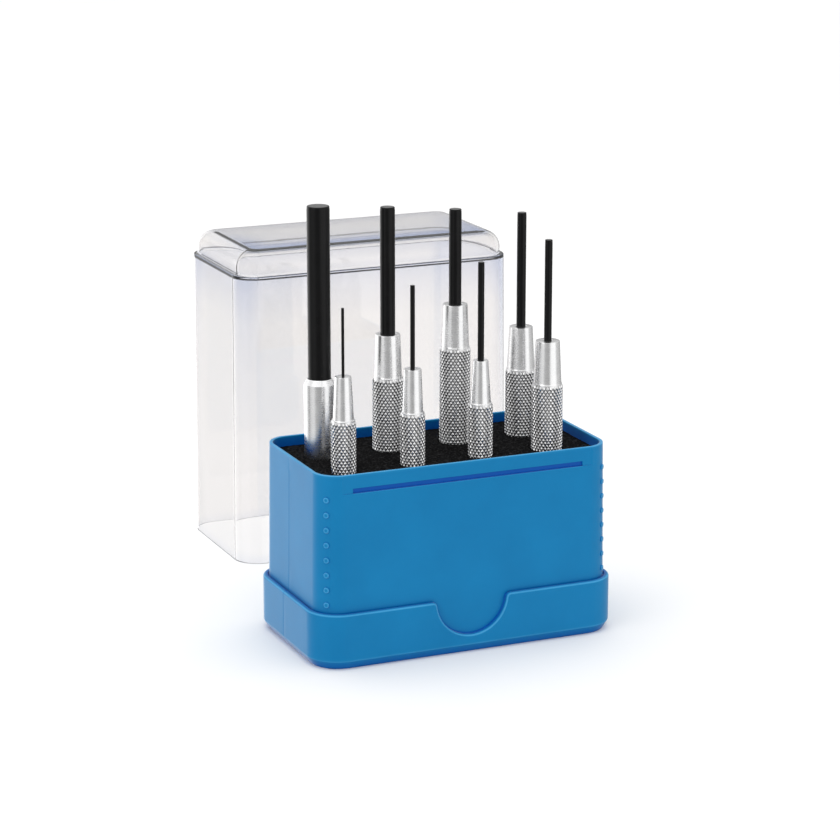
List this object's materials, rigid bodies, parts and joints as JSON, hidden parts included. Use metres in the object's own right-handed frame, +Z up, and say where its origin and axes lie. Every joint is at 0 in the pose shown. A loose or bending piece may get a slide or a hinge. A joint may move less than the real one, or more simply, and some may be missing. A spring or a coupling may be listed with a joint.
{
  "type": "pin punch set",
  "caption": "Parallel pin punches with sliding knurled guide sleeves, standing in a foam-filled plastic case with a clear lift-off lid.",
  "frame": {"origin": "centre of the flat underside of the case", "axes": "+X along the case's long side, +Y towards its back, where the lid stands, +Z up along the punches"},
  "size_m": [0.1277, 0.1798, 0.1492],
  "materials": {
    "case_plastic": "satin moulded",
    "foam": "open-cell foam",
    "clear_plastic": "clear, polished",
    "black_steel": "black oxide",
    "bright_steel": "nickel plated",
    "ring_rubber": "matt"
  },
  "bodies": {
    "box": {"case_base": "case_plastic", "foam_insert": "foam"},
    "lid": {"lid": "clear_plastic"},
    "punch_1": {"drift_1": "black_steel", "grip_ring_1": "ring_rubber"},
    "sleeve_1": {"guide_sleeve_1": "bright_steel"},
    "punch_2": {"drift_2": "black_steel", "grip_ring_2": "ring_rubber"},
    "sleeve_2": {"guide_sleeve_2": "bright_steel"},
    "punch_3": {"drift_3": "black_steel", "grip_ring_3": "ring_rubber"},
    "sleeve_3": {"guide_sleeve_3": "bright_steel"},
    "punch_4": {"drift_4": "black_steel", "grip_ring_4": "ring_rubber"},
    "sleeve_4": {"guide_sleeve_4": "bright_steel"},
    "punch_5": {"drift_5": "black_steel", "grip_ring_5": "ring_rubber"},
    "sleeve_5": {"guide_sleeve_5": "bright_steel"},
    "punch_6": {"drift_6": "black_steel", "grip_ring_6": "ring_rubber"},
    "sleeve_6": {"guide_sleeve_6": "bright_steel"},
    "punch_7": {"drift_7": "black_steel", "grip_ring_7": "ring_rubber"},
    "sleeve_7": {"guide_sleeve_7": "bright_steel"},
    "punch_8": {"drift_8": "black_steel", "grip_ring_8": "ring_rubber"},
    "sleeve_8": {"guide_sleeve_8": "bright_steel"}
  },
  "joints": [
    {"name": "lid_lift", "type": "slide", "parent": "box", "child": "lid", "axis": [0, 0, 1], "range_m": [0, 0.16]},
    {"name": "punch_1_lift", "type": "slide", "parent": "box", "child": "punch_1", "axis": [0, 0, 1], "range_m": [-0.015, 0.05]},
    {"name": "punch_2_lift", "type": "slide", "parent": "box", "child": "punch_2", "axis": [0, 0, 1], "range_m": [-0.015, 0.05]},
    {"name": "punch_3_lift", "type": "slide", "parent": "box", "child": "punch_3", "axis": [0, 0, 1], "range_m": [-0.015, 0.05]},
    {"name": "punch_4_lift", "type": "slide", "parent": "box", "child": "punch_4", "axis": [0, 0, 1], "range_m": [-0.015, 0.05]},
    {"name": "punch_5_lift", "type": "slide", "parent": "box", "child": "punch_5", "axis": [0, 0, 1], "range_m": [-0.015, 0.05]},
    {"name": "punch_6_lift", "type": "slide", "parent": "box", "child": "punch_6", "axis": [0, 0, 1], "range_m": [-0.015, 0.05]},
    {"name": "punch_7_lift", "type": "slide", "parent": "box", "child": "punch_7", "axis": [0, 0, 1], "range_m": [-0.015, 0.05]},
    {"name": "punch_8_lift", "type": "slide", "parent": "box", "child": "punch_8", "axis": [0, 0, 1], "range_m": [-0.015, 0.05]},
    {"name": "sleeve_1_slide", "type": "slide", "parent": "punch_1", "child": "sleeve_1", "axis": [0, 0, 1], "range_m": [0, 0.022]},
    {"name": "sleeve_2_slide", "type": "slide", "parent": "punch_2", "child": "sleeve_2", "axis": [0, 0, 1], "range_m": [0, 0.027]},
    {"name": "sleeve_3_slide", "type": "slide", "parent": "punch_3", "child": "sleeve_3", "axis": [0, 0, 1], "range_m": [0, 0.032]},
    {"name": "sleeve_4_slide", "type": "slide", "parent": "punch_4", "child": "sleeve_4", "axis": [0, 0, 1], "range_m": [0, 0.033]},
    {"name": "sleeve_5_slide", "type": "slide", "parent": "punch_5", "child": "sleeve_5", "axis": [0, 0, 1], "range_m": [0, 0.039]},
    {"name": "sleeve_6_slide", "type": "slide", "parent": "punch_6", "child": "sleeve_6", "axis": [0, 0, 1], "range_m": [-0.009, 0.031]},
    {"name": "sleeve_7_slide", "type": "slide", "parent": "punch_7", "child": "sleeve_7", "axis": [0, 0, 1], "range_m": [0, 0.042]},
    {"name": "sleeve_8_slide", "type": "slide", "parent": "punch_8", "child": "sleeve_8", "axis": [0, 0, 1], "range_m": [0, 0.047]}
  ]
}
